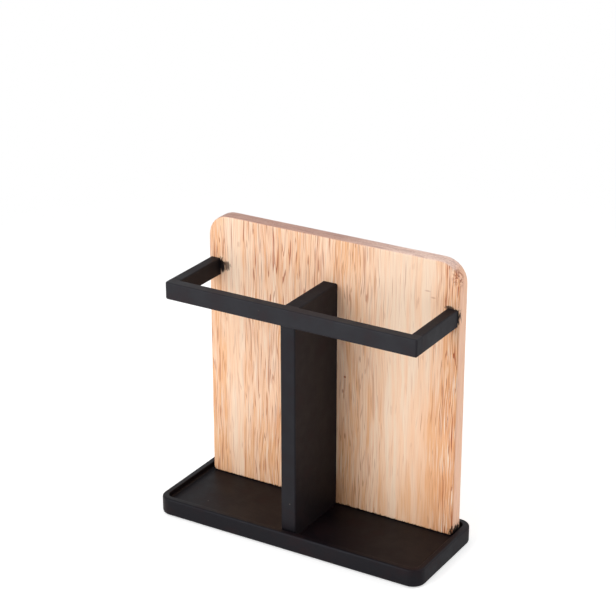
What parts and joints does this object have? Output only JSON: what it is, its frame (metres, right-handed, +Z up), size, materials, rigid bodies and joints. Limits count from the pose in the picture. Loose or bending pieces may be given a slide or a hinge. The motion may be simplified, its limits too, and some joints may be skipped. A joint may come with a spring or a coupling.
{
  "type": "toothbrush holder",
  "caption": "Free-standing bathroom holder: a rimmed black tray, a divider and a guard rail on an upright wooden board make two open compartments for toothbrushes.",
  "frame": {"origin": "under the middle of the tray, level with the undersides of the four feet", "axes": "+Z up, -Y out of the front where the compartments open, +X to the right seen from the front"},
  "size_m": [0.11, 0.0428, 0.1098],
  "materials": {
    "natural_wood": "oiled light hardwood with dark open pores",
    "black_lacquer": "satin black lacquer on hardwood",
    "dowel_wood": "plain beech dowel",
    "zinc_steel": "zinc plated",
    "rubber": "matt rubber"
  },
  "bodies": {
    "root": {"base_tray": "black_lacquer", "back_board": "natural_wood", "divider_panel": "black_lacquer", "rail_front_bar": "black_lacquer", "rail_left_arm": "black_lacquer", "rail_right_arm": "black_lacquer", "corner_dowel_left": "dowel_wood", "corner_dowel_right": "dowel_wood", "centre_dowel": "dowel_wood", "rail_screw_left": "zinc_steel", "rail_screw_right": "zinc_steel", "divider_screw_lower": "zinc_steel", "divider_screw_upper": "zinc_steel", "board_screw_left": "zinc_steel", "board_screw_right": "zinc_steel", "divider_foot_screw": "zinc_steel", "foot_front_left": "rubber", "foot_front_right": "rubber", "foot_back_left": "rubber", "foot_back_right": "rubber"}
  },
  "joints": []
}
